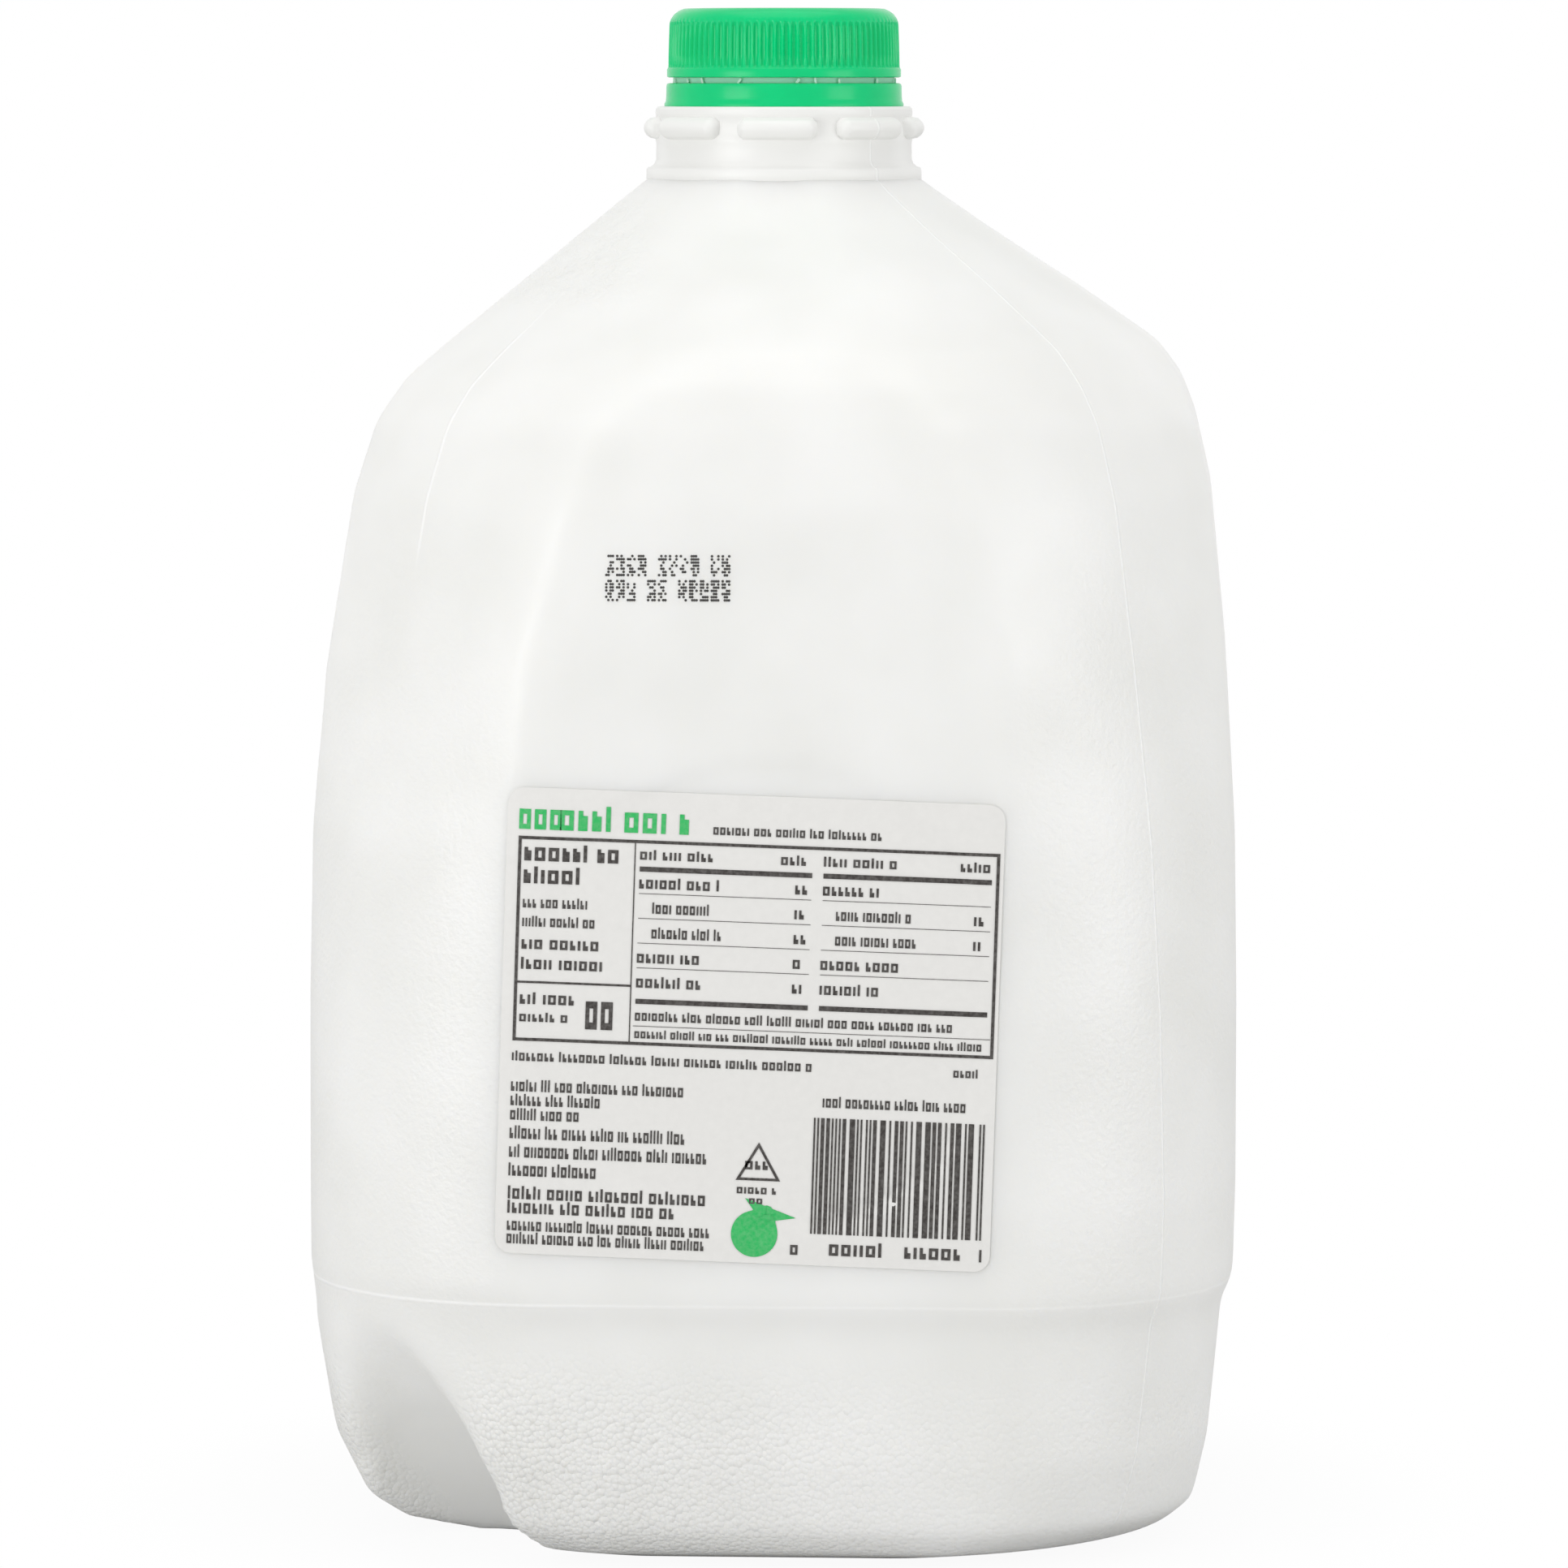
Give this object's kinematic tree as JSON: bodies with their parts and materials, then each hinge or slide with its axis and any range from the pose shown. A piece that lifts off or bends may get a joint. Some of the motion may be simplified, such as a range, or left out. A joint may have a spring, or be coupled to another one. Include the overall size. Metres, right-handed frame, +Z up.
{
  "type": "plastic milk jug",
  "caption": "Full blow-moulded plastic milk jug with a corner handle, ribbed green screw cap, tamper band and a printed nutrition label",
  "frame": {"origin": "on the floor under the neck's axis", "axes": "+Z up, the label faces -Y, the handle is at the corner between -X and +Y"},
  "size_m": [0.1518, 0.1521, 0.2512],
  "materials": {
    "jug_plastic": "milky natural polythene, blow-moulded, full of milk, satin",
    "cap_plastic": "green injection-moulded plastic, satin gloss",
    "label_paper": "coated white sticker with dark and green print"
  },
  "bodies": {
    "root": {"jug": "jug_plastic", "cap": "cap_plastic", "tamper_band": "cap_plastic", "label": "label_paper"}
  },
  "joints": []
}
